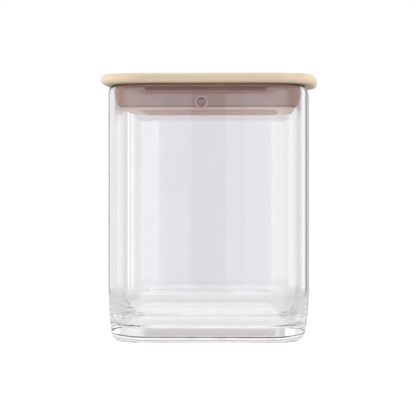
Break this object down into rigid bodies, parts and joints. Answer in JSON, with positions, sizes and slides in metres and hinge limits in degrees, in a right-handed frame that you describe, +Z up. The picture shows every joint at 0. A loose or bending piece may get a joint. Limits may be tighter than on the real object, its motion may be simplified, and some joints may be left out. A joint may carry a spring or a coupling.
{
  "type": "lidded glass canister",
  "caption": "Square clear glass storage jar with rounded corners and a thin bamboo lid whose brown plug, sealed by a soft sleeve with a small vent, pulls straight up out of the mouth.",
  "frame": {"origin": "centre of the jar's footprint, on the surface it stands on", "axes": "+Z up along the lid's travel, -Y is the front with the vent, +X to the right"},
  "size_m": [0.1086, 0.1086, 0.1338],
  "materials": {
    "glass": "clear polished glass",
    "bamboo": "pale bamboo, fine straight grain, satin oil",
    "pale_brown_plastic": "translucent pale reddish brown, satin",
    "brown_plastic": "translucent reddish brown, satin",
    "brown_silicone": "translucent reddish brown silicone, satin",
    "pale_silicone": "pale translucent silicone",
    "dark_silicone": "dark brown silicone",
    "steel": "plain zinc-plated steel"
  },
  "bodies": {
    "jar": {"glass_jar": "glass"},
    "lid": {"lid_board": "bamboo", "plug_shell": "pale_brown_plastic", "plug_cover": "brown_plastic", "seal_sleeve": "brown_silicone", "vent_bush": "pale_silicone", "vent_valve": "dark_silicone", "plug_screws": "steel"}
  },
  "joints": [
    {"name": "lid_lift", "type": "slide", "parent": "jar", "child": "lid", "axis": [0, 0, 1], "range_m": [0, 0.06]}
  ]
}
